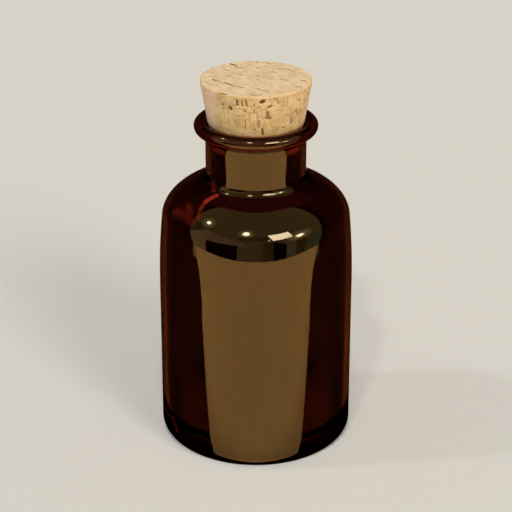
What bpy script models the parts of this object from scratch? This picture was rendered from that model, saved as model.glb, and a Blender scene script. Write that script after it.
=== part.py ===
"""A corked bottle: a turned amber glass bottle and the tapered cork that stops its mouth.

Both pieces are bodies of revolution about +Z. Each is drawn as a half outline in the X-Z plane,
turned by a Screw modifier, and stands on the plane z = 0 with its axis through the origin.
"""

import math

import bpy

# How finely round work is drawn
TURN_STEPS = 64
MERGE_DISTANCE = 0.000001
SHARP_ANGLE = math.radians(40)
BISECTIONS = 40
RIGHT_ANGLE = math.pi / 2

# Glass, outside
BODY_RADIUS = 0.0255
GLASS_HEIGHT = 0.0895
HEEL_RADIUS = 0.0046
BEARING_RING_WIDTH = 0.0028
PUSH_UP = 0.0012
DRAW_IN_START = 0.045
SHOULDER_START = 0.0633
DRAW_IN = 0.0009
SHOULDER_REACH = 0.0196
SHOULDER_RISE = 0.0116
NECK_RADIUS = 0.01305
ROOT_FILLET = 0.0022
LIP_RADIUS = 0.016
BEAD_RADIUS = 0.0017
BEAD_FILLET = 0.001

# Glass, inside
BODY_WALL = 0.0015
NECK_WALL = 0.0013
BASE_THICKNESS = 0.0038
INNER_HEEL_RADIUS = 0.0065
FLARE_DEPTH = 0.005

# Cork
CORK_TOP_RADIUS = 0.0143
CORK_STANDS_PROUD = 0.0108
CORK_LENGTH = 0.025
CORK_END_RADIUS = 0.0103
CORK_EDGE = 0.0004
SEAT_GAP = 0.0003
SEAT_ANGLE = math.radians(46.5)

# Finishes: colour, roughness, metallic, transmission
AMBER_GLASS = ((0.134, 0.045, 0.030, 1.0), 0.03, 0.0, 1.0)
NATURAL_CORK = ((0.64, 0.43, 0.22, 1.0), 0.85, 0.0, 0.0)
GLASS_INDEX = 1.5


def arc(centre, radii, start, end, steps):
    """Points on an ellipse with level and upright half-axes radii, from angle start to end."""
    points = []
    for step in range(steps + 1):
        angle = start + (end - start) * step / steps
        points.append(
            (
                centre[0] + radii[0] * math.cos(angle),
                centre[1] + radii[1] * math.sin(angle),
            )
        )
    return points


def joined(*stretches):
    """One outline from stretches laid end to end, with each shared point kept once."""
    outline = []
    for stretch in stretches:
        for point in stretch:
            if not outline or math.dist(point, outline[-1]) > MERGE_DISTANCE:
                outline.append(point)
    return outline


def dome(radius, height, rise, steps):
    """A shallow round cap, from its centre at height + rise out to its rim at height."""
    sphere = (radius * radius + rise * rise) / (2 * rise)
    half_angle = math.asin(radius / sphere)
    centre = (0, height + rise - sphere)
    return arc(centre, (sphere, sphere), RIGHT_ANGLE, RIGHT_ANGLE - half_angle, steps)


def draw_in_point(share):
    """Radius, height and lean of the outside, that share of the way up the body's draw-in."""
    rise = SHOULDER_START - DRAW_IN_START
    radius = BODY_RADIUS - DRAW_IN * share * share
    lean = math.atan(2 * DRAW_IN * share / rise)
    return radius, DRAW_IN_START + rise * share, lean


def shoulder_start_angle():
    """Angle on the shoulder's ellipse at which it leans as much as the top of the draw-in."""
    lean = draw_in_point(1)[2]
    return math.atan(math.tan(lean) * SHOULDER_RISE / SHOULDER_REACH)


def shoulder_point(angle):
    """Radius, height and lean of the outside, at an angle on the shoulder's ellipse."""
    start = shoulder_start_angle()
    radius, height, _ = draw_in_point(1)
    radius += SHOULDER_REACH * (math.cos(angle) - math.cos(start))
    height += SHOULDER_RISE * (math.sin(angle) - math.sin(start))
    lean = math.atan2(math.sin(angle) / SHOULDER_RISE, math.cos(angle) / SHOULDER_REACH)
    return radius, height, lean


def sunk(point, depth):
    """A point depth below the outside of the glass, square to it."""
    radius, height, lean = point
    return radius - depth * math.cos(lean), height - depth * math.sin(lean)


def side(depth, neck, fillet, steps):
    """A wall's side, bottom to top, depth below the outside: draw-in, shoulder, neck fillet."""
    draw_in_steps, shoulder_steps, fillet_steps = steps
    draw_in = [sunk(draw_in_point(i / draw_in_steps), depth) for i in range(draw_in_steps + 1)]

    # The fillet's centre lies fillet outside this wall and fillet outside the neck.
    start = low = shoulder_start_angle()
    high = RIGHT_ANGLE
    for _ in range(BISECTIONS):
        middle = (low + high) / 2
        if sunk(shoulder_point(middle), depth - fillet)[0] > neck + fillet:
            low = middle
        else:
            high = middle
    shoulder = []
    for i in range(shoulder_steps + 1):
        angle = start + (low - start) * i / shoulder_steps
        shoulder.append(sunk(shoulder_point(angle), depth))

    centre = sunk(shoulder_point(low), depth - fillet)
    lean = shoulder_point(low)[2]
    root = arc(centre, (fillet, fillet), math.pi + lean, math.pi, fillet_steps)
    return joined(draw_in, shoulder, root)


def lip():
    """The bead round the mouth, from the crest out and down to the neck below its fillet."""
    centre = (LIP_RADIUS - BEAD_RADIUS, GLASS_HEIGHT - BEAD_RADIUS)
    level = NECK_RADIUS + BEAD_FILLET - centre[0]
    drop = math.sqrt((BEAD_RADIUS + BEAD_FILLET) ** 2 - level * level)
    fillet_centre = (centre[0] + level, centre[1] - drop)
    underside = math.atan2(-drop, level)
    bead = arc(centre, (BEAD_RADIUS, BEAD_RADIUS), RIGHT_ANGLE, underside, 9)
    fillet = arc(fillet_centre, (BEAD_FILLET, BEAD_FILLET), underside + math.pi, math.pi, 3)
    return bead + fillet


def bore_radius():
    return NECK_RADIUS - NECK_WALL


def flare(gap, start, end, steps):
    """The rounded mouth inside the bead, or the same curve moved off the glass by gap."""
    centre = (LIP_RADIUS - BEAD_RADIUS, GLASS_HEIGHT - FLARE_DEPTH)
    radii = (centre[0] - bore_radius() + gap, FLARE_DEPTH + gap)
    return arc(centre, radii, start, end, steps)


def glass_outline():
    """Half outline of the bottle: up its inside, over the lip and down its outside."""
    inner_floor_radius = BODY_RADIUS - BODY_WALL - INNER_HEEL_RADIUS
    inner_floor = dome(inner_floor_radius, BASE_THICKNESS, PUSH_UP, 3)
    inner_heel = arc(
        (inner_floor_radius, BASE_THICKNESS + INNER_HEEL_RADIUS),
        (INNER_HEEL_RADIUS, INNER_HEEL_RADIUS),
        -RIGHT_ANGLE,
        0,
        6,
    )
    inner_side = side(BODY_WALL, bore_radius(), ROOT_FILLET + NECK_WALL, (3, 7, 4))
    mouth = flare(0, math.pi, RIGHT_ANGLE, 8)

    outer_side = side(0, NECK_RADIUS, ROOT_FILLET, (4, 10, 5))
    heel = arc(
        (BODY_RADIUS - HEEL_RADIUS, HEEL_RADIUS),
        (HEEL_RADIUS, HEEL_RADIUS),
        0,
        -RIGHT_ANGLE,
        6,
    )
    ring_inner_radius = BODY_RADIUS - HEEL_RADIUS - BEARING_RING_WIDTH
    push_up = dome(ring_inner_radius, 0, PUSH_UP, 3)
    return joined(
        inner_floor,
        inner_heel,
        inner_side,
        mouth,
        lip(),
        reversed(outer_side),
        heel,
        reversed(push_up),
    )


def cork_outline():
    """Half outline of the cork, top to bottom, drawn where it sits in the mouth.

    Above the glass it tapers. The mouth squeezes the part below to the bore, less the gap.
    """
    top = GLASS_HEIGHT + CORK_STANDS_PROUD
    end = top - CORK_LENGTH
    squeezed = flare(SEAT_GAP, math.pi - SEAT_ANGLE, math.pi, 4)
    fall = top - squeezed[0][1]
    taper = math.atan((CORK_TOP_RADIUS - squeezed[0][0]) / fall)
    edge = (CORK_EDGE, CORK_EDGE)
    top_edge = arc((CORK_TOP_RADIUS - CORK_EDGE, top - CORK_EDGE), edge, RIGHT_ANGLE, -taper, 3)
    end_edge = arc((CORK_END_RADIUS - CORK_EDGE, end + CORK_EDGE), edge, 0, -RIGHT_ANGLE, 2)
    return joined([(0, top)], top_edge, squeezed, end_edge, [(0, end)])


def turned(name, outline, seat_height):
    """A solid of revolution from a half outline, with its origin on the axis at seat_height."""
    mesh = bpy.data.meshes.new(name)
    points = [(radius, 0, height - seat_height) for radius, height in outline]
    edges = [(index, index + 1) for index in range(len(points) - 1)]
    mesh.from_pydata(points, edges, [])
    piece = bpy.data.objects.new(name, mesh)
    bpy.context.collection.objects.link(piece)
    piece.location.z = seat_height

    screw = piece.modifiers.new("turn", "SCREW")
    screw.axis = "Z"
    screw.angle = 2 * math.pi
    screw.steps = TURN_STEPS
    screw.render_steps = TURN_STEPS
    screw.use_merge_vertices = True
    screw.merge_threshold = MERGE_DISTANCE

    bpy.context.view_layer.update()
    evaluated = piece.evaluated_get(bpy.context.evaluated_depsgraph_get())
    solid = bpy.data.meshes.new_from_object(evaluated)
    solid.name = name
    solid.shade_smooth()
    solid.set_sharp_from_angle(angle=SHARP_ANGLE)
    piece.modifiers.clear()
    piece.data = solid
    bpy.data.meshes.remove(mesh)
    return piece


def finish(piece, name, values):
    """Gives the piece its own Principled material."""
    colour, roughness, metallic, transmission = values
    material = bpy.data.materials.new(name)
    material.use_nodes = True
    shader = material.node_tree.nodes["Principled BSDF"]
    shader.inputs["Base Color"].default_value = colour
    shader.inputs["Roughness"].default_value = roughness
    shader.inputs["Metallic"].default_value = metallic
    shader.inputs["Transmission Weight"].default_value = transmission
    shader.inputs["IOR"].default_value = GLASS_INDEX
    material.diffuse_color = colour
    piece.data.materials.append(material)


def main():
    for thing in list(bpy.data.objects):
        bpy.data.objects.remove(thing, do_unlink=True)

    bottle = turned("glass_bottle", glass_outline(), 0)
    finish(bottle, "amber_glass", AMBER_GLASS)

    cork = turned("cork_stopper", cork_outline(), GLASS_HEIGHT)
    finish(cork, "natural_cork", NATURAL_CORK)


main()
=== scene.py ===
# %% [markdown]
# A small amber glass bottle stands on a pale table with a cork pressed into its mouth. The CAD model
# already says how big both pieces are and how the cork slides out. This lesson dresses that model: it
# models the glass and the cork again with finer surfaces, gives each a finish made of nodes, and sets
# up the table, the light and the camera of the photograph. The first cell loads the CAD model.

# %% Load the frame
import math

import bpy
import numpy as np
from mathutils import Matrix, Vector


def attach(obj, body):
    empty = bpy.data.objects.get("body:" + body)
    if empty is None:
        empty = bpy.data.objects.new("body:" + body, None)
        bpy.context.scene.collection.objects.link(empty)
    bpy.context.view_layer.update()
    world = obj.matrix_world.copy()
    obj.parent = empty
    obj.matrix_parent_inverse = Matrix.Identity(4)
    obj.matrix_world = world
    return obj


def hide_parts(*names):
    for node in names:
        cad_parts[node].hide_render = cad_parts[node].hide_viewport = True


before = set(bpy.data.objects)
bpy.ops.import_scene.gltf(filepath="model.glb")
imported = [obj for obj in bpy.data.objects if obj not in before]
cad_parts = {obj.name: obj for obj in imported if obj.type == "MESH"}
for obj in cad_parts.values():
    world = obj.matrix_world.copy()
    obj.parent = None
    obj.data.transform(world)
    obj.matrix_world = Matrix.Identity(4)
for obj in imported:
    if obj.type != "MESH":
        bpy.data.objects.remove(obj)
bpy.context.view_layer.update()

MM = 0.001

# %% [markdown]
# The camera comes first, because some marks on the cork are placed by where the photograph shows them.
# It stands in front of the bottle and looks down at it by about 24 degrees, from half a metre away
# with a long lens, which is why the bottle's sides look almost parallel. The distance and the lens
# were found by trying them until the drawn outline fell on the photographed one. The helper at the
# end turns a place in the picture back into a ray, and says where on a piece that ray lands.

# %% Set up the camera
PICTURE_PIXELS = 512
SENSOR_WIDTH = 36
LENS = 128.53
LOOK_DOWN = math.radians(24.465)
CAMERA_DISTANCE = 483.63 * MM
AIM_HEIGHT = 50.81 * MM

camera_data = bpy.data.cameras.new("camera")
camera_data.lens = LENS
camera_data.sensor_width = SENSOR_WIDTH
camera_data.sensor_fit = "HORIZONTAL"
camera = bpy.data.objects.new("camera", camera_data)
bpy.context.collection.objects.link(camera)
camera.location = (
    0,
    -CAMERA_DISTANCE * math.cos(LOOK_DOWN),
    AIM_HEIGHT + CAMERA_DISTANCE * math.sin(LOOK_DOWN),
)
camera.rotation_euler = (math.pi / 2 - LOOK_DOWN, 0, 0)
bpy.context.scene.camera = camera
bpy.context.view_layer.update()
FOCAL_PIXELS = LENS / SENSOR_WIDTH * PICTURE_PIXELS


def met_at(piece, column, row):
    """Where the camera's ray through a place in the picture meets a piece, or None."""
    aim = Vector((column - PICTURE_PIXELS / 2, PICTURE_PIXELS / 2 - row, -FOCAL_PIXELS))
    ray = camera.matrix_world.to_3x3() @ aim.normalized()
    hit, point, _, _ = piece.ray_cast(camera.location, ray)
    return point if hit else None


print("the camera stands at", [round(n, 4) for n in camera.location], "m")

# %% [markdown]
# Finishes are made of shader nodes, and most of a finish is arithmetic: this noise times that, one
# minus a mask. Adding Math nodes by hand hides the sum in a tangle, so the class below wraps a
# socket and lets Python's own signs add the nodes. One method makes every other kind of node: it
# takes the node's type, the settings to make first, and the values or links of its sockets.

# %% Write shader sums in Python
class Signal:
    """A socket's value. Sums written with it add Math nodes."""

    def __init__(self, shader, socket):
        self.shader = shader
        self.socket = socket

    def math(self, operation, *values):
        sockets = dict(enumerate(values))
        return self.shader.node("ShaderNodeMath", {"operation": operation}, sockets)

    def __add__(self, other):
        return self.math("ADD", self, other)

    def __radd__(self, other):
        return self.math("ADD", other, self)

    def __sub__(self, other):
        return self.math("SUBTRACT", self, other)

    def __rsub__(self, other):
        return self.math("SUBTRACT", other, self)

    def __mul__(self, other):
        return self.math("MULTIPLY", self, other)

    def __rmul__(self, other):
        return self.math("MULTIPLY", other, self)

    def __truediv__(self, other):
        return self.math("DIVIDE", self, other)

    def __rtruediv__(self, other):
        return self.math("DIVIDE", other, self)

    def __pow__(self, other):
        return self.math("POWER", self, other)

    def __neg__(self):
        return self.math("MULTIPLY", self, -1)

    def larger(self, other):
        return self.math("MAXIMUM", self, other)

    def smaller(self, other):
        return self.math("MINIMUM", self, other)

    def rising(self, low, high):
        """0 below low, 1 above high and a smooth step between. With low above high it falls."""
        return self.shader.node(
            "ShaderNodeMapRange", {"interpolation_type": "SMOOTHSTEP"}, {0: self, 1: low, 2: high}
        )

    def band(self, span, unit=1.0):
        """1 between the middle two of span's four values and 0 outside the outer two."""
        start, full, still_full, end = (value * unit for value in span)
        return self.rising(start, full) * self.rising(end, still_full)


class Shader:
    """The nodes of one material or of the world."""

    def __init__(self, owner):
        owner.use_nodes = True
        self.tree = owner.node_tree
        self.tree.nodes.clear()

    def node(self, kind, settings=None, sockets=None, output=0):
        made = self.tree.nodes.new(kind)
        for name, value in (settings or {}).items():
            setattr(made, name, value)
        for name, value in (sockets or {}).items():
            if isinstance(value, Signal):
                self.tree.links.new(value.socket, made.inputs[name])
            else:
                made.inputs[name].default_value = value
        if not made.outputs:
            return made
        return Signal(self, made.outputs[output])

    def mixed(self, share, first, second):
        """first where share is 0 and second where it is 1, both colours."""
        sockets = {0: share, 6: first, 7: second}
        return self.node("ShaderNodeMix", {"data_type": "RGBA"}, sockets, 2)

    def parts(self, vector):
        """The three parts of a vector, each a value of its own."""
        split = self.node("ShaderNodeSeparateXYZ", {}, {0: vector})
        return [Signal(self, socket) for socket in split.socket.node.outputs]

    def vector(self, operation, first, second=(0, 0, 0), output=0, scale=1.0):
        """Vector maths. Output 0 is the vector and output 1 the number, such as a length."""
        sockets = {0: first, 1: second, 3: scale}
        return self.node("ShaderNodeVectorMath", {"operation": operation}, sockets, output)

    def stretched(self, vector, factors):
        """The vector with its parts scaled, to stretch or squeeze a pattern."""
        return self.vector("MULTIPLY", vector, factors)

    def noise(self, vector, scale, detail=2.0, roughness=0.5):
        sockets = {"Vector": vector, "Scale": scale, "Detail": detail, "Roughness": roughness}
        return self.node("ShaderNodeTexNoise", {}, sockets)

    def bump(self, strength, distance, surface_height):
        sockets = {"Strength": strength, "Distance": distance, "Height": surface_height}
        return self.node("ShaderNodeBump", {}, sockets)

    def principled(self, sockets):
        return self.node("ShaderNodeBsdfPrincipled", {}, sockets)

    def layered(self, share, under, over):
        """The surface under where share is 0 and the surface over where it is 1."""
        return self.node("ShaderNodeMixShader", {}, {0: share, 1: under, 2: over})


def from_screen(red, green, blue):
    """A colour as a picture shows it, 0 to 255, turned into the light that a shader works with."""
    light = []
    for level in (red, green, blue):
        share = level / 255
        light.append(share / 12.92 if share <= 0.04045 else ((share + 0.055) / 1.055) ** 2.4)
    return (*light, 1.0)


print("mid grey on screen is", round(from_screen(128, 128, 128)[0], 3), "in a shader")

# %% [markdown]
# The table is one plain pale sheet, large enough that its edge is never in view. It could be a photo
# studio's curved backdrop, but here the camera looks down and sees only the table, so a flat sheet is
# enough. Its paint has a trace of mottling that a flat colour would lack. The glass in the photograph
# reflects a room and not the pale table, so the table is hidden from reflections and stays visible to
# the camera and through the glass.

# %% Lay the table
TABLE_COLOUR = from_screen(214, 209, 199)
TABLE_SIZE = 4.0
MOTTLE_SHARE = 0.01

bpy.ops.object.select_all(action="DESELECT")
bpy.ops.mesh.primitive_plane_add(size=TABLE_SIZE, location=(0, 0, 0))
table = bpy.context.object
table.name = "table"
table.visible_glossy = False

paint = bpy.data.materials.new("pale_paint")
shader = Shader(paint)
place = shader.node("ShaderNodeTexCoord", {}, {}, "Object")
mottle = shader.noise(place, scale=900.0)
darker = tuple(level * (1 - MOTTLE_SHARE) for level in TABLE_COLOUR[:3]) + (1.0,)
lighter = tuple(level * (1 + MOTTLE_SHARE) for level in TABLE_COLOUR[:3]) + (1.0,)
colour = shader.mixed(mottle.rising(0.35, 0.65), darker, lighter)
surface = shader.principled({"Base Color": colour, "Roughness": 0.9, "Specular IOR Level": 0.0})
shader.node("ShaderNodeOutputMaterial", {}, {"Surface": surface})
table.data.materials.append(paint)
print("the table is", TABLE_SIZE, "m across")

# %% [markdown]
# Three shadows in the photograph tell where its lights are. A wide soft one falls to the left and back,
# from a window high on the right. A clearer one falls to the right and back, from a lamp over the
# camera's left shoulder. A long faint one falls to the right, from a lamp far out on the left. They
# are faint, so most of the light must come from somewhere else: from above and in front, where it
# throws its shadow straight back and the bottle hides it. Each light is a sun here, because a sun
# lights the whole table evenly, and its angle sets how soft its shadow is. A sun's share is the part of
# the table's light that it gives. The small rest comes from all around.

# %% Hang the lights
def point_at(azimuth, elevation):
    """The direction towards a light: azimuth from the camera's side to the right, in degrees."""
    turn = math.radians(azimuth)
    rise = math.radians(elevation)
    return Vector(
        (math.cos(rise) * math.sin(turn), -math.cos(rise) * math.cos(turn), math.sin(rise))
    )


def hang_sun(name, azimuth, elevation, softness, table_share, colour):
    """A sun, with the direction towards it and the width of its disc in degrees."""
    data = bpy.data.lights.new(name, "SUN")
    towards = point_at(azimuth, elevation)
    data.energy = table_share * math.pi / towards.z
    data.angle = math.radians(softness)
    data.color = colour
    sun = bpy.data.objects.new(name, data)
    bpy.context.collection.objects.link(sun)
    sun.rotation_euler = towards.to_track_quat("Z", "Y").to_euler()
    sun.visible_glossy = False
    sun.visible_transmission = False
    print(name, "gives", round(100 * table_share), "percent of the table's light")


ALL_LIGHT_SHARE = 0.968
WINDOW_SHARE = 0.2
NEAR_LAMP_SHARE = 0.12
LEFT_LAMP_SHARE = 0.08
ROUND_SHARE = 0.13
FRONT_SHARE = ALL_LIGHT_SHARE - WINDOW_SHARE - NEAR_LAMP_SHARE - LEFT_LAMP_SHARE - ROUND_SHARE

hang_sun("window_light", 33, 34, 20, WINDOW_SHARE, (1.0, 0.92, 0.9))
hang_sun("near_lamp", -14.7, 48, 4, NEAR_LAMP_SHARE, (0.96, 1.0, 1.0))
hang_sun("left_lamp", -82.7, 48.2, 3, LEFT_LAMP_SHARE, (0.94, 0.96, 1.0))
hang_sun("front_light", 0, 56, 8, FRONT_SHARE, (1.02, 1.03, 1.04))

# %% [markdown]
# Glass shows its surroundings more than itself. What this bottle mirrors is a room: a ceiling with a
# beam, two plain walls on the left, dark openings, a doorway, leaves outside and a bright window.
# Cards hung round the bottle could do it, but they would throw shadows of their own, so the room is
# drawn into the world by direction, and only reflections see it. A direction is an azimuth, from the
# camera's side to the right, and an elevation. Each thing in the room is a patch with straight sides,
# and its corners were found from where the photograph shows it in the glass.

# %% Draw the room that the glass reflects
def inside(azimuth, elevation, corners, softness):
    """1 inside a shape with straight sides, its corners given clockwise in degrees."""
    mask = 1.0
    for here, there in zip(corners, corners[1:] + corners[:1]):
        across = there[0] - here[0]
        up = there[1] - here[1]
        length = math.hypot(across, up)
        depth = (azimuth - here[0]) * (up / length) - (elevation - here[1]) * (across / length)
        mask = depth.rising(-softness, softness) * mask
    return mask


world = bpy.data.worlds.new("room")
bpy.context.scene.world = world
room = Shader(world)
towards = room.node("ShaderNodeTexCoord", {}, {}, "Generated")
right, back, up = room.parts(towards)
DEGREES = 180 / math.pi
azimuth = right.math("ARCTAN2", right, -back) * DEGREES
elevation = up.math("ARCSINE", up) * DEGREES

BLACK = (0.0, 0.0, 0.0, 1.0)
CEILING = (0.57, 0.34, 0.1, 1.0)
DIM_CORNER = (0.3, 0.17, 0.06, 1.0)
PLASTER = (1.2, 0.66, 0.25, 1.0)
LONG_WALL = (0.98, 0.5, 0.24, 1.0)
BEAM = (0.4, 0.17, 0.06, 1.0)
DOORWAY = (0.6, 0.4, 0.16, 1.0)
LEAVES = (0.36, 0.34, 0.15, 1.0)
WINDOW_PANE = (19.0, 15.0, 9.0, 1.0)

view = CEILING
# Each patch: its corners and the softness of its edge, in degrees, and its light. Later ones cover.
patches = (
    ([(-92, 12), (-83, 24), (-70, 34), (-58, 33), (-58, -30), (-92, -30)], 3.0, PLASTER),
    ([(-60, 33), (-45, 31), (-30, 24.6), (-12, 17), (-12, 2), (-60, 4)], 2.5, LONG_WALL),
    ([(-24, 38), (22, 38), (22, 27), (-24, 27)], 3.0, BEAM),
    ([(8, 16), (22, 20), (22, -30), (8, -30)], 4.0, DIM_CORNER),
    ([(34, 24), (60, 24), (60, -30), (34, -30)], 3.0, DOORWAY),
    ([(66, 22), (86, 22), (84, -30), (66, -30)], 4.0, LEAVES),
    (
        [(-125, 42), (-86, 39), (-78, 36.6), (-72, 33), (-89, 12.5), (-93, 8), (-125, 8)],
        1.5,
        DIM_CORNER,
    ),
    ([(-60.8, 5.9), (-20.9, 5.7), (-23.7, -30), (-61.9, -30)], 1.0, BLACK),
    ([(20.8, 20.7), (36.2, 7.1), (35.9, -30), (19.7, -30)], 1.0, BLACK),
    ([(47, 8), (60, 22), (64, 0), (56, -30), (48, -30)], 1.5, DIM_CORNER),
    ([(16.5, 43.0), (47.6, 44.4), (48.5, 28.0), (21.4, 24.7)], 0.5, WINDOW_PANE),
)
for shape_corners, softness, shape_light in patches:
    view = room.mixed(inside(azimuth, elevation, shape_corners, softness), view, shape_light)
print("the room has", len(patches), "patches")

# %% [markdown]
# Four small lamps show as glints on the shoulder. The photographed glints are long or slanted, so each
# lamp is an ellipse with two half axes of its own, bright in the middle, and a wider faint halo
# stands for the glow round it.

# %% Add the lamps and their halos
LAMP_GLOW = (30.0, 27.0, 17.0, 1.0)
LAMP_HALO = (2.8, 1.9, 0.6, 1.0)
HALO_SHARE = 0.6


def glow_round(centre, first, second, size):
    """1 at a direction, falling to 0 at the ends of an ellipse's two half axes, in degrees."""
    area = (first[0] * second[1] - first[1] * second[0]) * size
    across = azimuth - centre[0]
    high = elevation - centre[1]
    along_first = (across * second[1] - high * second[0]) / area
    along_second = (high * first[0] - across * first[1]) / area
    return (along_first * along_first + along_second * along_second).rising(1.0, 0.0)


# Each lamp: its centre, its two half axes, and how many times as large its halo is.
lamps = (
    ((-83.5, 48.8), (2.0, 2.5), (5.4, -2.6), 3.4),
    ((-15.0, 48.0), (7.0, 1.2), (1.5, -6.8), 2.4),
    ((57.6, 26.1), (7.8, 0.9), (-1.0, -5.0), 3.4),
    ((16.9, 26.2), (1.0, 0.0), (0.0, 1.5), 2.0),
)
for centre, first, second, halo_size in lamps:
    halo = glow_round(centre, first, second, halo_size)
    view = room.mixed(halo * halo * HALO_SHARE, view, LAMP_HALO)
    view = room.mixed(glow_round(centre, first, second, 1.0), view, LAMP_GLOW)
print("the room has", len(lamps), "lamps")

# %% [markdown]
# The ceiling ends in a curve behind the bottle. Past it, and below the floor line, a reflection finds
# darkness, apart from a pale strip low at the back, which the bottle's right edge mirrors at a grazing
# angle. What shows there through the glass is a dim grey.

# %% Close the room at the back and below
FLOOR_LINE = (-18, -17)
CEILING_CURVE = (0.36, 0.26, -0.13)
CEILING_SOFTNESS = 0.015
BACK_STRIP = (1.3, 1.1, 0.8, 1.0)
DIM_BACK = (0.24, 0.23, 0.22, 1.0)

bend, slope, level = CEILING_CURVE
ceiling_end = (up * bend + slope) * up + level
before_end = (ceiling_end - back).rising(-CEILING_SOFTNESS, CEILING_SOFTNESS)
in_room = elevation.rising(*FLOOR_LINE) * before_end
view = room.mixed(in_room, BLACK, view)
back_strip = [(168, -20), (179, -20), (179, -30), (168, -30)]
view = room.mixed(inside(azimuth, elevation, back_strip, 1.5), view, BACK_STRIP)
print("the view has", len(room.tree.nodes), "nodes")

# %% [markdown]
# The Light Path node tells rays apart. Reflections see the room, and the camera sees the table's own
# colour, so that no edge of the table shows. Matt surfaces, which here are the cork and the table, get
# plain soft light, with more of it low on the left and the right: the two sides of the photographed
# cork are brighter than its front.

# %% Light the matt surfaces softly
ROUND_LIGHT = (ROUND_SHARE, ROUND_SHARE, ROUND_SHARE, 1.0)
LEFT_LIGHT = (0.85, 0.8, 0.72, 1.0)
RIGHT_LIGHT = (1.6, 1.4, 1.1, 1.0)
SIDE_FROM = 0.3
SIDE_FULL = 0.95

low = up.rising(0.45, 0.1)
soft = room.mixed(right.rising(-SIDE_FROM, -SIDE_FULL) * low, ROUND_LIGHT, LEFT_LIGHT)
soft = room.mixed(right.rising(SIDE_FROM, SIDE_FULL) * low, soft, RIGHT_LIGHT)

path = room.node("ShaderNodeLightPath", {}, {})
straight = Signal(room, path.socket.node.outputs["Is Camera Ray"])
mirrored = Signal(room, path.socket.node.outputs["Is Glossy Ray"])
refracted = Signal(room, path.socket.node.outputs["Is Transmission Ray"])
light = room.mixed(mirrored, soft, view)
light = room.mixed(refracted * (1 - in_room), light, DIM_BACK)
light = room.mixed(straight, light, TABLE_COLOUR)
backdrop = room.node("ShaderNodeBackground", {}, {"Color": light, "Strength": 1.0})
room.node("ShaderNodeOutputWorld", {}, {"Surface": backdrop})
print("the whole world has", len(room.tree.nodes), "nodes")

# %% [markdown]
# Below its horizon the glass mirrors a warm brown surface that spreads from the bottle's foot towards
# the camera and ends about a quarter of a metre away. Because the reflection in the heel starts right
# at the foot, this can't be part of the far room: it lies on the table. So it is a board that only
# reflections see, drawn by extruding a vertex along its edge and filling the loop. Half its edge is
# listed, and the other half is its mirror image.

# %% Lay the board that only the glass shows
def drawn(name, points):
    """An object of one wire, drawn by extruding a vertex from point to point. Left in edit mode."""
    bpy.ops.object.select_all(action="DESELECT")
    bpy.ops.mesh.primitive_circle_add(vertices=8, radius=MM)
    wire = bpy.context.object
    wire.name = name
    wire.data.name = name
    bpy.ops.object.mode_set(mode="EDIT")
    bpy.ops.mesh.select_all(action="SELECT")
    bpy.ops.mesh.merge(type="CENTER")
    bpy.ops.transform.translate(value=points[0])
    for here, there in zip(points, points[1:]):
        step = [b - a for a, b in zip(here, there)]
        bpy.ops.mesh.extrude_region_move(TRANSFORM_OT_translate={"value": step})
    bpy.ops.mesh.select_all(action="SELECT")
    return wire


# Half the board's edge, in mm: first the side next to the bottle, then the far side's round end.
BOARD_LIFT = 0.02
BOARD_REACH = 247
near_edge = [
    (0, -25.3), (13, -25.3), (16, -26.4), (18.7, -28.2), (23.2, -29.9), (35, -35.5), (53, -42.6),
    (72, -49.1), (93, -54.8), (108, -61.8), (132, -69.5), (162, -75), (187, -73), (212, -68),
]
far_angles = np.radians(np.linspace(-14, -90, 20))
far_edge = [(BOARD_REACH * math.cos(a), BOARD_REACH * math.sin(a)) for a in far_angles]
half_edge = near_edge + far_edge
whole_edge = half_edge + [(-x, y) for x, y in half_edge[-2:0:-1]]
board = drawn("brown_board", [(x * MM, y * MM, BOARD_LIFT * MM) for x, y in whole_edge])
bpy.ops.mesh.edge_face_add()
bpy.ops.object.mode_set(mode="OBJECT")
board.visible_camera = False
board.visible_diffuse = False
board.visible_transmission = False
board.visible_shadow = False
print("the board's edge has", len(whole_edge), "corners")

# %% [markdown]
# The board gives off its own light, so that no lamp's glare or shadow shows on it in the glass. A
# faint grain keeps it from looking flat, and it is dimmer along the edge next to the bottle, where
# the photograph's reflection is too.

# %% Make the board glow
BOARD_DEEP = (2.69, 1.4, 0.4, 1.0)
BOARD_PALE = (2.93, 1.55, 0.45, 1.0)
BOARD_DIM = (1.5, 0.75, 0.22, 1.0)
EDGE_START = 25 * MM
RIGHT_SLOPE = 0.3
LEFT_SLOPE = 0.22
DIM_NEAR_EDGE = (16 * MM, -6 * MM)
DIM_ENDS = (-90 * MM, -60 * MM)

glow = bpy.data.materials.new("brown_glow")
shader = Shader(glow)
place = shader.node("ShaderNodeTexCoord", {}, {}, "Object")
grain = shader.noise(shader.stretched(place, (1.0, 0.2, 1.0)), scale=90.0, detail=3.0)
colour = shader.mixed(grain.rising(0.3, 0.7), BOARD_DEEP, BOARD_PALE)
across, away, _ = shader.parts(place)
sideways = (across * RIGHT_SLOPE).larger(across * -LEFT_SLOPE)
from_edge = -away - sideways - EDGE_START
dim = from_edge.rising(*DIM_NEAR_EDGE) * away.rising(*DIM_ENDS)
colour = shader.mixed(dim, colour, BOARD_DIM)
surface = shader.node("ShaderNodeEmission", {}, {"Color": colour, "Strength": 1.0})
shader.node("ShaderNodeOutputMaterial", {}, {"Surface": surface})
board.data.materials.append(glow)
print("the board's glow has", len(shader.tree.nodes), "nodes")

# %% [markdown]
# The bottle is a turned shape, so half its outline says everything. On the real one the outside comes
# from a mould and the inside from the air blown into it: a flat ring to stand on round a shallow
# push-up, a rounded heel, a straight side that draws in a hair towards the domed shoulder, a small
# fillet into the neck, and a rounded bead at the mouth. The outline below has the CAD model's own
# sizes, with far more points along every curve, because mirror-like glass shows each corner.

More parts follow.
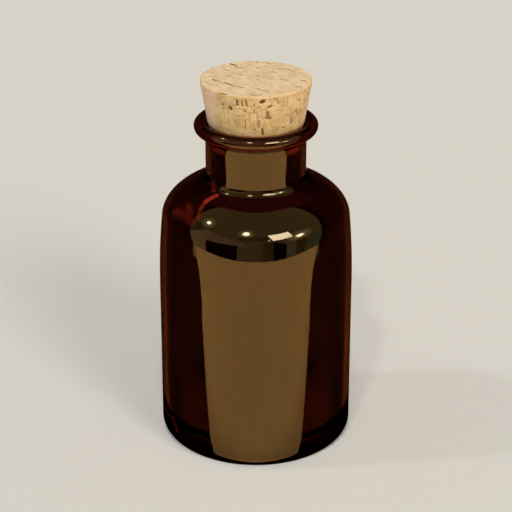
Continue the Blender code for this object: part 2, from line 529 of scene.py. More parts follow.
# %% Name the bottle's sizes
BODY_RADIUS = 25.5 * MM
GLASS_HEIGHT = 89.5 * MM
HEEL_RADIUS = 4.6 * MM
RING_WIDTH = 2.8 * MM
PUSH_UP = 1.2 * MM
DRAW_IN_START = 45.0 * MM
SHOULDER_START = 63.3 * MM
DRAW_IN = 0.9 * MM
SHOULDER_REACH = 19.6 * MM
SHOULDER_RISE = 11.6 * MM
NECK_RADIUS = 13.05 * MM
ROOT_FILLET = 2.2 * MM
LIP_RADIUS = 16.0 * MM
BEAD_RADIUS = 1.7 * MM
BEAD_FILLET = 1.0 * MM
BODY_WALL = 1.5 * MM
NECK_WALL = 1.3 * MM
BASE_THICKNESS = 3.8 * MM
INNER_HEEL_RADIUS = 6.5 * MM
FLARE_DEPTH = 5.0 * MM
print("the bottle is", 2 * BODY_RADIUS / MM, "mm across and", GLASS_HEIGHT / MM, "mm tall")

# %% [markdown]
# All its curves are arcs of circles or ellipses. The wall is as thick over the shoulder as it is on
# the side, so both of its faces come from the same curve, the inner one sunk under the outer one. A
# fillet joins each to the neck, and where it touches is found by halving the way again and again.

# %% Draw the arcs and the wall
QUARTER = math.pi / 2
HALVINGS = 40


def arc(centre, radii, start, end, steps):
    """Points along part of an ellipse, as pairs of radius and height."""
    angles = np.linspace(start, end, steps + 1)
    across = centre[0] + radii[0] * np.cos(angles)
    high = centre[1] + radii[1] * np.sin(angles)
    return np.column_stack([across, high])


def dome(radius, height, rise, steps):
    """A shallow cap from its centre out to its rim."""
    ball = (radius * radius + rise * rise) / (2 * rise)
    half_angle = math.asin(radius / ball)
    centre = (0, height + rise - ball)
    return arc(centre, (ball, ball), QUARTER, QUARTER - half_angle, steps)


def draw_in(share):
    """The outside that share of the way up the drawn-in part: radius, height and lean."""
    rise = SHOULDER_START - DRAW_IN_START
    radius = BODY_RADIUS - DRAW_IN * share * share
    return radius, DRAW_IN_START + rise * share, math.atan(2 * DRAW_IN * share / rise)


START_ANGLE = math.atan(math.tan(draw_in(1)[2]) * SHOULDER_RISE / SHOULDER_REACH)


def shoulder(angle):
    """The outside at an angle on the shoulder's ellipse: radius, height and lean."""
    radius, height, _ = draw_in(1)
    radius += SHOULDER_REACH * (math.cos(angle) - math.cos(START_ANGLE))
    height += SHOULDER_RISE * (math.sin(angle) - math.sin(START_ANGLE))
    lean = math.atan2(math.sin(angle) / SHOULDER_RISE, math.cos(angle) / SHOULDER_REACH)
    return radius, height, lean


def sunk(point, depth):
    """A point that lies depth under the outside, square to it."""
    radius, height, lean = point
    return radius - depth * math.cos(lean), height - depth * math.sin(lean)


def wall_side(depth, neck, fillet, steps):
    """One face of the wall, from the straight side over the shoulder into the neck."""
    low = START_ANGLE
    high = QUARTER
    for _ in range(HALVINGS):
        middle = (low + high) / 2
        if sunk(shoulder(middle), depth - fillet)[0] > neck + fillet:
            low = middle
        else:
            high = middle
    straight_part = [sunk(draw_in(share), depth) for share in np.linspace(0, 1, steps[0])]
    angles = np.linspace(START_ANGLE, low, steps[1])
    domed_part = [sunk(shoulder(angle), depth) for angle in angles]
    centre = sunk(shoulder(low), depth - fillet)
    lean = shoulder(low)[2]
    root = arc(centre, (fillet, fillet), math.pi + lean, math.pi, steps[2])
    return np.vstack([straight_part, domed_part[1:], root[1:]])


print("the shoulder starts at", round(math.degrees(START_ANGLE), 2), "degrees on its ellipse")

# %% [markdown]
# The stretches are laid end to end, from the middle of the inner floor up the inside, over the lip and
# down the outside to the middle of the push-up. The straight stretches get points too, so that the
# faces stay short and the surface's shading stays smooth.

# %% Draw half the bottle's outline
def straight_run(first, last, steps):
    """Evenly spaced points on a straight line, without its two ends."""
    return np.linspace(first, last, steps + 1)[1:-1]


def bottle_outline():
    """From the middle of the inner floor up the inside, over the lip and down the outside."""
    bore = NECK_RADIUS - NECK_WALL
    floor_radius = BODY_RADIUS - BODY_WALL - INNER_HEEL_RADIUS
    corner = (floor_radius, BASE_THICKNESS + INNER_HEEL_RADIUS)
    heel_radii = (INNER_HEEL_RADIUS, INNER_HEEL_RADIUS)
    inner_floor = dome(floor_radius, BASE_THICKNESS, PUSH_UP, 8)
    inner_heel = arc(corner, heel_radii, -QUARTER, 0, 14)[1:]
    inner_side = wall_side(BODY_WALL, bore, ROOT_FILLET + NECK_WALL, (8, 24, 10))
    bead_centre = (LIP_RADIUS - BEAD_RADIUS, GLASS_HEIGHT - BEAD_RADIUS)
    flare_centre = (bead_centre[0], GLASS_HEIGHT - FLARE_DEPTH)
    flare = arc(flare_centre, (flare_centre[0] - bore, FLARE_DEPTH), math.pi, QUARTER, 16)
    level = NECK_RADIUS + BEAD_FILLET - bead_centre[0]
    drop = math.sqrt((BEAD_RADIUS + BEAD_FILLET) ** 2 - level * level)
    under = math.atan2(-drop, level)
    bead = arc(bead_centre, (BEAD_RADIUS, BEAD_RADIUS), QUARTER, under, 26)[1:]
    fillet_centre = (bead_centre[0] + level, bead_centre[1] - drop)
    bead_root = arc(fillet_centre, (BEAD_FILLET, BEAD_FILLET), under + math.pi, math.pi, 8)[1:]
    outer_side = wall_side(0, NECK_RADIUS, ROOT_FILLET, (14, 48, 16))[::-1]
    heel_centre = (BODY_RADIUS - HEEL_RADIUS, HEEL_RADIUS)
    heel = arc(heel_centre, (HEEL_RADIUS, HEEL_RADIUS), 0, -QUARTER, 20)
    push_up = dome(BODY_RADIUS - HEEL_RADIUS - RING_WIDTH, 0, PUSH_UP, 8)[::-1]
    return np.vstack([
        inner_floor,
        inner_heel,
        straight_run(inner_heel[-1], inner_side[0], 12),
        inner_side,
        straight_run(inner_side[-1], flare[0], 5),
        flare,
        bead,
        bead_root,
        straight_run(bead_root[-1], outer_side[0], 6),
        outer_side,
        straight_run(outer_side[-1], heel[0], 16),
        heel,
        straight_run(heel[-1], push_up[0], 2),
        push_up,
    ])


outline = bottle_outline()
print("the outline has", len(outline), "points, widest", round(outline[:, 0].max() / MM, 2), "mm")

# %% [markdown]
# To model it as by hand, one vertex is extruded along the outline, as it was round the board. Spin
# then turns that wire round the upright axis in small steps. The turn ends where it began, so the
# doubles are merged there and at the poles, and then the normals are recalculated, because a spun
# shape can come out inside out.

# %% Turn an outline into a piece
TURN_STEPS = 160
MERGE_DISTANCE = 0.002 * MM


def turned(name, half_outline, steps):
    """A solid of revolution, made by extruding a vertex along the outline and spinning it."""
    piece = drawn(name, [(radius, 0, height) for radius, height in half_outline])
    full_turn = 2 * math.pi
    bpy.ops.mesh.spin(steps=steps, angle=full_turn, center=(0, 0, 0), axis=(0, 0, 1))
    bpy.ops.mesh.select_all(action="SELECT")
    bpy.ops.mesh.remove_doubles(threshold=MERGE_DISTANCE)
    bpy.ops.mesh.normals_make_consistent(inside=False)
    bpy.ops.object.mode_set(mode="OBJECT")
    bpy.ops.object.shade_smooth()
    print(name, "has", len(piece.data.polygons), "faces")
    return piece


bottle = turned("amber_bottle", outline, TURN_STEPS)

# %% [markdown]
# Amber glass is clear glass with iron and sulphur in the melt. It swallows blue and most green, so
# what little light comes through is red-brown, and from outside the bottle looks almost black except
# for what it mirrors. Absorption in the glass alone would make the edges black, because there the
# light runs a long way inside the wall, and a colour on the surface alone would make them too bright.
# So a weak absorption goes into the melt further down, and most of the tint is on the surface, where
# a ray meets it at each face. It is a little darker high up than low down, with slow clouds. The
# lighter tint low down is painted light: it brightens what shows through the lower glass, where the
# table behind the bottle lies in the bottle's shadow.

# %% Tint the glass
amber = bpy.data.materials.new("amber_glass_finish")
shader = Shader(amber)
place = shader.node("ShaderNodeTexCoord", {}, {}, "Object")
across, away, height = shader.parts(place)
LOW_DEEP = (0.138, 0.061, 0.028, 1.0)
LOW_CLEAR = (0.155, 0.07, 0.033, 1.0)
HIGH_DEEP = (0.096, 0.042, 0.021, 1.0)
HIGH_CLEAR = (0.108, 0.049, 0.024, 1.0)

cloud = shader.noise(shader.stretched(place, (1.0, 1.0, 0.35)), scale=55.0).rising(0.3, 0.7)
# Painted light: the glass is tinted lighter low down than high up.
high = height.rising(34 * MM, 52 * MM)
deep = shader.mixed(high, LOW_DEEP, HIGH_DEEP)
clear = shader.mixed(high, LOW_CLEAR, HIGH_CLEAR)
tint = shader.mixed(cloud, deep, clear)
print("the tint has", len(shader.tree.nodes), "nodes")

# %% [markdown]
# The tint is darkest where a ray has the most glass to cross: in the base and inside the mouth. Over
# the shoulder and in a band along each side the same dark tint is painted shade, which darkens what
# shows through the glass there. Layer Weight tells how far the glass faces away, so such a band
# follows the outline from wherever the bottle is seen, as the dark does on the real one.

# %% Darken the glass where it is thick, and paint shade on its sides and shoulder
THICK_AND_SHADED_AMBER = (0.026, 0.012, 0.009, 1.0)
SIDE_SHADE_SHARE = 0.72
LOW_SIDE_SHADE_SHARE = 0.8
# Each span: where a part starts, is full, is still full and ends. Facing is 1 towards the viewer and
# 0 at the outline. Heights are in mm.
SIDE_FACING = (0.28, 0.38, 0.42, 0.66)
LOW_SIDE_FACING = (0.3, 0.345, 0.42, 0.5)
SHOULDER_HEIGHTS = (59.0, 61.0, 71.0, 74.0)
SHOULDER_MIDDLE = 64 * MM
FACING_PER_HEIGHT = 0.03 / MM

facing = 1 - shader.node("ShaderNodeLayerWeight", {}, {"Blend": 0.5}, "Facing")
# Painted shade: a dark band along each side, and a second one low down.
tint = shader.mixed(facing.band(SIDE_FACING) * SIDE_SHADE_SHARE, tint, THICK_AND_SHADED_AMBER)
low_side_shade = facing.band(LOW_SIDE_FACING) * height.rising(50 * MM, 32 * MM)
tint = shader.mixed(low_side_shade * LOW_SIDE_SHADE_SHARE, tint, THICK_AND_SHADED_AMBER)
# Painted shade: a dark band over the shoulder, where the wall is no thicker than elsewhere.
shoulder_facing = facing + (height - SHOULDER_MIDDLE) * FACING_PER_HEIGHT
shoulder_shade = shoulder_facing.rising(0.7, 0.8) * height.band(SHOULDER_HEIGHTS, MM)
from_axis = (across * across + away * away) ** 0.5
in_mouth = height.rising(84.5 * MM, 85.5 * MM) * from_axis.rising(14.6 * MM, 14.0 * MM)
in_base = height.rising(10.2 * MM, 9.0 * MM)
tint = shader.mixed(shoulder_shade.larger(in_mouth).larger(in_base), tint, THICK_AND_SHADED_AMBER)
print("the glass has", len(shader.tree.nodes), "nodes so far")

# %% [markdown]
# Blown glass is smooth but never flat. Faint long waves and finer ripples bend what it mirrors, as a
# bump far too shallow to see as a shape. A film left by fingers makes some patches a touch less
# sharp. One Principled shader takes all of this, with transmission and the index of common glass.

# %% Make the glass clear and slightly wavy
FILM_ROUGHNESS = 0.03
CLEAN_ROUGHNESS = 0.004
RIPPLE_SHARE = 0.12
WAVE_HEIGHT = 0.02 * MM

wipe = shader.noise(shader.stretched(place, (1.0, 1.0, 2.2)), scale=90.0, detail=4.0, roughness=0.6)
roughness = wipe.rising(0.52, 0.75) * FILM_ROUGHNESS + CLEAN_ROUGHNESS
waves = shader.noise(place, scale=38.0, detail=1.0)
ripples = shader.noise(shader.stretched(place, (1.0, 1.0, 0.5)), scale=160.0, detail=1.0)
surface = shader.principled({
    "Base Color": tint,
    "Roughness": roughness,
    "IOR": 1.5,
    "Transmission Weight": 1.0,
    "Normal": shader.bump(1.0, WAVE_HEIGHT, waves + ripples * RIPPLE_SHARE),
})
print("the glass has", len(shader.tree.nodes), "nodes so far")

# %% [markdown]
# Some light doesn't cross the glass but is guided along inside the wall, and comes out red where the
# surface bends: under the lip, down both sides of the neck, and faintly over the shoulder and the low
# wall. Following it takes far more rays than a picture can afford, so it is a matt red layer over the
# glass, and the masks below say how large its share is in each place. The same layer, in a red so
# dark that it is nearly black, dulls the neck's root, the front of the crest and the inside of the
# mouth, which mirror less in the photograph than a clean curve would.

# %% Say where guided light comes out
UNDER_LIP_HEIGHTS = (84.7, 84.95, 86.7, 87.15)
NECK_HEIGHTS = (82.8, 84.0, 86.2, 86.4)
NECK_FACING = (0.4, 0.56, 0.68, 0.82)
LOW_WALL_HEIGHTS = (9.5, 10.5, 19.0, 30.0)
LOW_WALL_FACING = (0.48, 0.6, 0.76, 0.85)
UPPER_HEIGHTS = (58.0, 64.0, 71.0, 73.3)
ROOT_HEIGHTS = (71.1, 71.4, 73.0, 73.3)
LIP_SHARE = 0.08
UNDER_LIP_SHARE = 0.62
NECK_SHARE = 0.5
LOW_WALL_SHARE = 0.035
UPPER_SHARE = 0.022
SHADED_SHARE = 0.8

in_lip = height.rising(86.3 * MM, 87.0 * MM) * LIP_SHARE
under_lip = height.band(UNDER_LIP_HEIGHTS, MM) * UNDER_LIP_SHARE
on_neck = facing.band(NECK_FACING) * height.band(NECK_HEIGHTS, MM) * NECK_SHARE
low_wall = height.band(LOW_WALL_HEIGHTS, MM) * facing.band(LOW_WALL_FACING) * LOW_WALL_SHARE
upper = height.band(UPPER_HEIGHTS, MM) * facing.rising(0.74, 0.62) * UPPER_SHARE
at_root = height.band(ROOT_HEIGHTS, MM)
crest = height.rising(88.95 * MM, 89.25 * MM)
in_front = away.rising(-6 * MM, -11 * MM)
shaded = (at_root.larger(crest) * in_front).larger(in_mouth)
lit_inside = shaded * SHADED_SHARE
for mask in (in_lip, under_lip, on_neck, low_wall, upper):
    lit_inside = lit_inside.larger(mask)
print("the glass has", len(shader.tree.nodes), "nodes so far")

# %% [markdown]
# At the left shoulder, the neck and the left heel the guided light shows as short red streaks. Each is
# a line between two places of the photograph that the camera's rays carry onto the glass. Vector
# Math nodes find the nearest point of that line, and the streak fades with the distance from it. A
# noise mottles them, because sharp even streaks would look painted on.

# %% Place the red streaks
# Each streak: column and row of one end, column and row of the other, half width in mm, share.
red_streaks_px = [
    (198.0, 217.5, 200.4, 209.5, 1.1, 0.35),
    (200.4, 209.5, 203.0, 205.0, 1.1, 0.45),
    (203.0, 205.0, 206.5, 201.0, 1.1, 0.5),
    (206.5, 201.0, 216.0, 195.6, 1.1, 0.5),
    (175.0, 212.0, 184.0, 214.5, 2.4, 0.2),
    (183.0, 214.0, 192.0, 220.5, 2.4, 0.22),
    (188.0, 206.0, 191.0, 214.0, 1.8, 0.2),
    (213.0, 183.5, 214.0, 190.5, 1.4, 0.2),
    (165.5, 408.0, 171.0, 418.0, 0.9, 0.14),
    (173.0, 418.0, 177.0, 430.0, 1.0, 0.22),
]
mottled = shader.noise(place, scale=420.0, detail=3.0).rising(0.15, 0.5)
streaks = 0.0
for column, row, end_column, end_row, half_width, share in red_streaks_px:
    start = met_at(bottle, column, row)
    along = met_at(bottle, end_column, end_row) - start
    offset = shader.vector("SUBTRACT", place, start)
    passed = shader.vector("DOT_PRODUCT", offset, along / along.length_squared, output=1)
    nearest = shader.vector("SCALE", tuple(along), scale=passed.larger(0.0).smaller(1.0))
    distance = shader.vector("DISTANCE", offset, nearest, output=1)
    streaks = (distance.rising(half_width * MM, 0.0) * share).larger(streaks)
streaks = streaks * mottled
lit_inside = lit_inside.larger(streaks)
print(len(red_streaks_px), "streaks lie on the glass")

# %% [markdown]
# Mix Shader nodes lay these layers over each other, and the absorption goes into the volume. One more
# layer is for shadow rays alone. The thick heel would stop them and leave a dark rim on the table,
# where the real glass bends light under itself. So they pass straight through the lowest few
# millimetres, with a cool tint that makes up for the red that the melt leaves in them.

# %% Put the glass together
RED_DEEP = (0.22, 0.018, 0.007, 1.0)
RED_CLEAR = (0.3, 0.027, 0.011, 1.0)
SHADED_RED = (0.014, 0.001, 0.001, 1.0)
PASSING = (0.95, 1.4, 1.9, 1.0)
MELT_COLOUR = (0.955, 0.6, 0.29, 1.0)
MELT_DENSITY = 500.0

darker = shaded.rising(0.0, 0.08) * streaks.rising(0.2, 0.05)
red_light = shader.mixed(cloud, RED_DEEP, RED_CLEAR)
red_light = shader.mixed(darker, red_light, SHADED_RED)
guided = shader.principled({"Base Color": red_light, "Roughness": 0.5, "Specular IOR Level": 0.0})
surface = shader.layered(lit_inside, surface, guided)
in_shadow = shader.node("ShaderNodeLightPath", {}, {}, "Is Shadow Ray")
near_table = height.rising(7.0 * MM, 5.0 * MM)
passing = shader.node("ShaderNodeBsdfTransparent", {}, {"Color": PASSING})
surface = shader.layered(in_shadow * near_table, surface, passing)
melt = {"Color": MELT_COLOUR, "Density": MELT_DENSITY}
inner = shader.node("ShaderNodeVolumeAbsorption", {}, melt)
shader.node("ShaderNodeOutputMaterial", {}, {"Surface": surface, "Volume": inner})
bottle.data.materials.append(amber)
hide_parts("glass_bottle")
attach(bottle, "bottle")
print("the glass has", len(shader.tree.nodes), "nodes")

# %% [markdown]
# The cork is cut from bark with its axis along the tree's trunk. Its outline is read off the CAD cork
# and drawn again with a point every fifth of a millimetre where it shows, so that its pits can be
# carved as real hollows. Inside the neck, where the glass hides them, the rows are further apart.

# %% Turn a fine blank for the cork
ON_LINE = 0.001 * MM
ON_FLAT = 0.01 * MM
cad_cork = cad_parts["cork_stopper"]
corners = np.array([corner.co for corner in cad_cork.data.vertices])
profile = corners[(np.abs(corners[:, 1]) < ON_LINE) & (corners[:, 0] > MM)]
profile = np.unique(np.round(profile[:, [2, 0]], 6), axis=0)
CORK_TOP = corners[:, 2].max()
CORK_END = corners[:, 2].min()


def cork_radius(height):
    """The CAD cork's radius at a height."""
    return np.interp(height, profile[:, 0], profile[:, 1])


FINE = 0.2 * MM
COARSE = 0.6 * MM
TOP_EDGE = 0.12 * MM
SHOWN_IN_MOUTH = 1.0 * MM
HIDDEN_IN_MOUTH = 1.5 * MM
TOP_FLAT_RADIUS = profile[profile[:, 0] > CORK_TOP - ON_FLAT][:, 1].min()
END_FLAT_RADIUS = profile[profile[:, 0] < CORK_END + ON_FLAT][:, 1].min()


def spaced(start, end, spacing):
    """Values from start to end, about spacing apart."""
    return np.linspace(start, end, max(2, round(abs(end - start) / spacing) + 1))


top_rings = [(radius, CORK_TOP) for radius in spaced(0, TOP_FLAT_RADIUS, FINE)]
shown_heights = spaced(CORK_TOP - TOP_EDGE, GLASS_HEIGHT - SHOWN_IN_MOUTH, FINE)
hidden_heights = spaced(GLASS_HEIGHT - HIDDEN_IN_MOUTH, CORK_END + FINE, COARSE)
side_rings = [(cork_radius(h), h) for h in (*shown_heights, *hidden_heights)]
end_rings = [(radius, CORK_END) for radius in spaced(END_FLAT_RADIUS, 0, COARSE)]
CORK_STEPS = 400
cork = turned("cork_bung", np.array(top_rings + side_rings + end_rings), CORK_STEPS)

# %% [markdown]
# Bark is full of lenticels, the pores that the tree breathed through. Cut across they are pits, cut
# along they are thin channels. The ones that the photograph shows are listed: each line gives where a
# mark begins and ends in the picture, how wide it is, and how deep a brown it is. The camera's ray
# through such a place meets the blank at one point, and that is where the mark goes. The camera sees
# the top at a slant, which thins its flecks, so those are carved wider than they look.

# %% Place the marks that the photograph shows
# Each mark: column and row of one end, column and row of the other, width in pixels, darkness share.
top_flecks_px = [
    (230.5, 63.2, 233.5, 64.4, 1.6, 1.0),
    (233.5, 64.4, 237.0, 65.7, 1.1, 0.9),
    (235.7, 67.2, 243.9, 67.3, 0.8, 0.8),
    (212.0, 68.2, 213.5, 68.4, 0.9, 0.6),
    (224.4, 69.1, 230.5, 71.4, 0.5, 0.4),
    (227.0, 75.3, 230.0, 75.6, 0.9, 0.8),
    (213.0, 79.0, 217.0, 80.6, 1.0, 0.9),
    (217.0, 80.6, 221.7, 81.3, 0.7, 0.8),
    (225.0, 82.0, 231.0, 84.4, 1.1, 0.9),
    (231.7, 84.8, 244.0, 87.7, 0.7, 0.8),
    (232.5, 72.2, 247.0, 75.6, 0.5, 0.5),
    (220.0, 92.6, 225.0, 94.2, 1.2, 0.8),
    (225.0, 94.2, 228.0, 93.8, 0.9, 0.7),
    (205.0, 89.4, 211.4, 92.4, 0.6, 0.5),
    (202.0, 80.6, 213.0, 85.2, 0.4, 0.3),
    (247.8, 70.2, 255.4, 71.4, 0.5, 0.4),
    (256.0, 61.5, 261.7, 62.2, 0.8, 0.6),
    (263.0, 61.9, 265.0, 62.0, 0.9, 0.8),
    (267.0, 62.4, 269.7, 63.4, 0.9, 0.7),
    (256.3, 67.2, 259.7, 68.3, 0.6, 0.5),
    (273.0, 67.5, 281.6, 68.5, 0.7, 0.6),
    (284.6, 68.0, 290.0, 69.6, 0.8, 0.7),
    (290.0, 69.6, 296.0, 72.2, 0.5, 0.5),
    (272.4, 71.2, 275.8, 72.4, 0.7, 0.6),
    (264.0, 74.8, 271.0, 76.4, 0.6, 0.6),
    (262.0, 76.0, 271.6, 79.4, 0.5, 0.5),
    (257.5, 75.4, 258.9, 75.5, 0.9, 0.9),
    (258.0, 79.5, 260.0, 79.6, 0.9, 0.7),
    (261.5, 73.2, 262.7, 73.5, 0.6, 0.5),
    (281.0, 78.3, 288.0, 80.0, 0.8, 0.8),
    (300.3, 79.4, 305.3, 80.6, 1.0, 0.9),
    (295.5, 86.3, 300.3, 86.6, 1.2, 0.9),
    (276.0, 84.0, 281.0, 85.0, 0.5, 0.4),
    (257.0, 88.4, 261.5, 89.6, 0.7, 0.7),
    (264.0, 90.5, 268.5, 91.7, 0.7, 0.7),
    (249.0, 94.0, 255.0, 95.0, 1.8, 0.45),
    (255.0, 95.6, 261.0, 94.4, 1.5, 0.45),
    (269.0, 96.0, 277.0, 99.0, 0.8, 0.5),
]
side_pits_px = [
    (236.8, 101.2, 237.2, 105.3, 1.6, 1.0),
    (233.0, 105.5, 238.0, 105.6, 0.5, 0.7),
    (241.5, 101.2, 242.2, 106.0, 0.9, 0.9),
    (245.6, 100.8, 246.8, 106.0, 1.1, 0.9),
    (223.2, 104.2, 223.2, 105.5, 1.3, 0.8),
    (218.4, 104.5, 218.8, 104.6, 0.7, 0.5),
    (223.3, 108.6, 223.5, 108.9, 1.1, 0.8),
    (229.6, 107.7, 230.6, 109.0, 2.5, 1.0),
    (244.2, 110.4, 245.6, 111.8, 1.1, 0.8),
    (254.3, 104.6, 254.3, 106.4, 0.8, 0.7),
    (251.0, 107.4, 251.5, 107.7, 0.9, 0.7),
    (253.5, 110.0, 253.5, 113.0, 0.8, 0.6),
    (228.4, 118.0, 228.6, 122.3, 0.5, 0.7),
    (229.2, 125.4, 229.3, 126.2, 0.7, 0.6),
    (245.2, 120.4, 245.4, 130.7, 0.5, 0.7),
    (254.4, 129.6, 254.8, 130.4, 1.0, 0.7),
    (261.4, 102.6, 263.4, 102.0, 3.2, 1.0),
    (262.4, 100.8, 264.4, 100.8, 1.8, 0.9),
    (268.6, 107.3, 271.6, 106.2, 2.0, 0.9),
    (267.6, 108.4, 268.6, 107.4, 1.0, 0.8),
    (267.5, 110.8, 267.6, 112.0, 0.9, 0.7),
    (267.3, 113.0, 268.3, 113.2, 1.8, 0.7),
    (267.1, 115.4, 269.0, 115.8, 2.2, 0.7),
    (266.4, 118.0, 270.4, 118.4, 2.2, 0.75),
    (258.6, 122.0, 258.4, 127.6, 2.8, 0.5),
    (262.3, 129.4, 263.0, 135.0, 1.5, 1.0),
    (277.6, 100.2, 278.4, 103.3, 0.8, 0.7),
    (269.2, 99.8, 269.6, 99.9, 1.0, 0.8),
    (282.8, 104.7, 283.0, 106.6, 0.7, 0.6),
    (283.3, 127.2, 283.6, 127.4, 1.3, 1.0),
    (291.5, 118.0, 291.4, 123.0, 0.8, 0.9),
    (286.2, 114.8, 286.6, 115.4, 0.8, 0.7),
    (297.4, 112.8, 297.5, 113.7, 1.0, 0.8),
    (299.0, 114.6, 299.2, 115.4, 0.8, 0.7),
    (296.2, 108.4, 296.6, 111.4, 0.8, 0.7),
    (300.3, 123.8, 300.6, 125.2, 0.8, 0.7),
    (290.3, 130.8, 290.6, 132.0, 1.0, 0.7),
    (298.3, 99.6, 298.5, 100.6, 0.9, 0.8),
    (217.0, 103.8, 237.0, 106.0, 0.25, 0.35),
]

MM_PER_PIXEL = 0.2533
EXTRA_PIXELS = 0.5
ON_TOP = 0.1 * MM
SLANT_SHARE = 1.7
marks = []
for marks_px, widening_share in ((top_flecks_px, SLANT_SHARE), (side_pits_px, 1.0)):
    for column, row, end_column, end_row, width, darkness_share in marks_px:
        start = met_at(cork, column, row)
        end = met_at(cork, end_column, end_row)
        if start is not None and end is not None:
            half_width = (width + EXTRA_PIXELS) * MM_PER_PIXEL / 2 * MM
            if start.z > CORK_TOP - ON_TOP:
                half_width *= widening_share
            marks.append((np.array(start), np.array(end), half_width, darkness_share))
print(len(marks), "marks are placed by the photograph")

# %% [markdown]
# The photograph doesn't show the back of the cork or its lower end, and bark doesn't stop being bark
# there. So the rest of the surface gets marks of the same kinds and sizes, with places from a seeded
# random choice, which gives the same cork on every run: flecks that run one way over the two ends,
# and upright channels and small pits on the side.

# %% Scatter the marks that the photograph doesn't show
chance = np.random.default_rng(11)


def on_side(turn, height):
    """A point on the cork's side, turn being the angle from the camera's side, in radians."""
    radius = cork_radius(height)
    return np.array([radius * math.sin(turn), -radius * math.cos(turn), height])


HIDDEN_TURN = math.radians(68)
HIDDEN_SIDE_MARKS = 150
LOW_FRONT_MARKS = 60
END_MARKS = 40
UPRIGHT_SHARE = 0.55
for _ in range(HIDDEN_SIDE_MARKS):
    turn = chance.uniform(HIDDEN_TURN, 2 * math.pi - HIDDEN_TURN)
    height = chance.uniform(CORK_END, CORK_TOP - 0.5 * MM)
    upright = chance.random() < UPRIGHT_SHARE
    length = chance.uniform(0.4, 2.2) * MM if upright else chance.uniform(0.1, 0.5) * MM
    lean = chance.normal(0, 0.03)
    start = on_side(turn, height)
    end = on_side(turn + lean, height - length)
    half_width = chance.uniform(0.05, 0.16) * MM if upright else chance.uniform(0.1, 0.3) * MM
    marks.append((start, end, half_width, chance.uniform(0.4, 1.0)))
for _ in range(LOW_FRONT_MARKS):
    turn = chance.uniform(-HIDDEN_TURN, HIDDEN_TURN)
    height = chance.uniform(CORK_END, GLASS_HEIGHT - 2.5 * MM)
    start = on_side(turn, height)
    end = on_side(turn, height - chance.uniform(0.2, 1.6) * MM)
    marks.append((start, end, chance.uniform(0.05, 0.15) * MM, chance.uniform(0.4, 1.0)))
for _ in range(END_MARKS):
    middle = chance.uniform(-9, 9, 2) * MM
    along = np.array([1.0, -0.35]) * chance.uniform(0.3, 1.6) * MM
    start = np.array([*(middle - along), CORK_END])
    end = np.array([*(middle + along), CORK_END])
    marks.append((start, end, chance.uniform(0.06, 0.16) * MM, chance.uniform(0.5, 1.0)))
print(len(marks), "marks in all")

# %% [markdown]
# Now the marks are carved. For every vertex the distance to each mark is worked out, less half the
# mark's width, so it is negative inside a pit. Vertices inside are pushed in, deepest along the middle.
# The distance and the darkness are also kept on the mesh as attributes, because the finish can then
# draw the pit's edge much finer than the mesh is.

# %% Carve the pits
count = len(cork.data.vertices)
places = np.empty(count * 3)
cork.data.vertices.foreach_get("co", places)
places = places.reshape(-1, 3)
normals = np.empty(count * 3)
cork.data.vertices.foreach_get("normal", normals)
normals = normals.reshape(-1, 3)
REACH = 0.8 * MM
PIT_DEPTH_SHARE = 0.9
LEAST_DEPTH = 0.1 * MM
PIT_EDGE = 0.05 * MM
RIM_SHARE = 0.35
edge_distance = np.full(count, REACH)
darkness = np.zeros(count)
sink = np.zeros(count)
for start, end, half_width, darkness_share in marks:
    near = np.linalg.norm(places - (start + end) / 2, axis=1)
    near = near < np.linalg.norm(end - start) / 2 + half_width + REACH
    along = end - start
    offset = places[near] - start
    length_squared = max(float(along @ along), 1e-12)
    share = np.clip(offset @ along / length_squared, 0, 1)
    gap = np.linalg.norm(offset - share[:, None] * along, axis=1) - half_width
    closer = gap < edge_distance[near]
    here = np.flatnonzero(near)[closer]
    edge_distance[here] = gap[closer]
    darkness[here] = darkness_share
    depth = PIT_DEPTH_SHARE * half_width + LEAST_DEPTH
    inwards = np.clip(RIM_SHARE - gap / (half_width + PIT_EDGE), 0, 1)
    hollow = depth * darkness_share * inwards
    sink[near] = np.maximum(sink[near], hollow)
places -= normals * sink[:, None]
cork.data.vertices.foreach_set("co", places.ravel())
for name, values in (("pit_edge", edge_distance / MM), ("pit_darkness", darkness)):
    kept = cork.data.attributes.new(name, "FLOAT", "POINT")
    kept.data.foreach_set("value", values.astype(np.float32))
cork.data.update()
print("the deepest pit is", round(sink.max() / MM, 2), "mm deep")

# %% [markdown]
# Cork is matt and warm, between straw and light brown. Its two cut ends are a little paler and pinker
# than its side, and the normal's upright part tells which is which. That is partly the cork's own end
# grain and partly painted light and shade: the side is painted darker and warmer for the light that
# falls on it. Slow patches mix two tones on each. The side is also painted paler and pinker at its
# left edge and brighter towards its right, as painted light for the light that falls on those sides.

# %% Colour the cork
natural = bpy.data.materials.new("natural_cork_finish")
shader = Shader(natural)
place = shader.node("ShaderNodeTexCoord", {}, {}, "Object")
across, away, height = shader.parts(place)
face_up = shader.parts(shader.node("ShaderNodeNewGeometry", {}, {}, "Normal"))[2]
on_end = face_up.math("ABSOLUTE", face_up).rising(0.5, 0.85)

END_PALE = from_screen(239, 213, 173)
END_WARM = from_screen(226, 195, 148)
# Partly painted light and shade: the side tones are darker and warmer than the ends'.
SIDE_PALE = from_screen(223, 191, 137)
SIDE_WARM = from_screen(203, 166, 108)
SIDE_PAINTED_PINK_LIGHT = from_screen(236, 204, 176)
SIDE_PAINTED_BRIGHT_LIGHT = from_screen(247, 212, 160)
LEFT_PAINTED_LIGHT_SHARE = 0.8
RIGHT_PAINTED_LIGHT_SHARE = 0.45

patches = shader.noise(place, scale=260.0, detail=3.0, roughness=0.6).rising(0.3, 0.7)
end_tone = shader.mixed(patches, END_PALE, END_WARM)
side_tone = shader.mixed(patches, SIDE_PALE, SIDE_WARM)
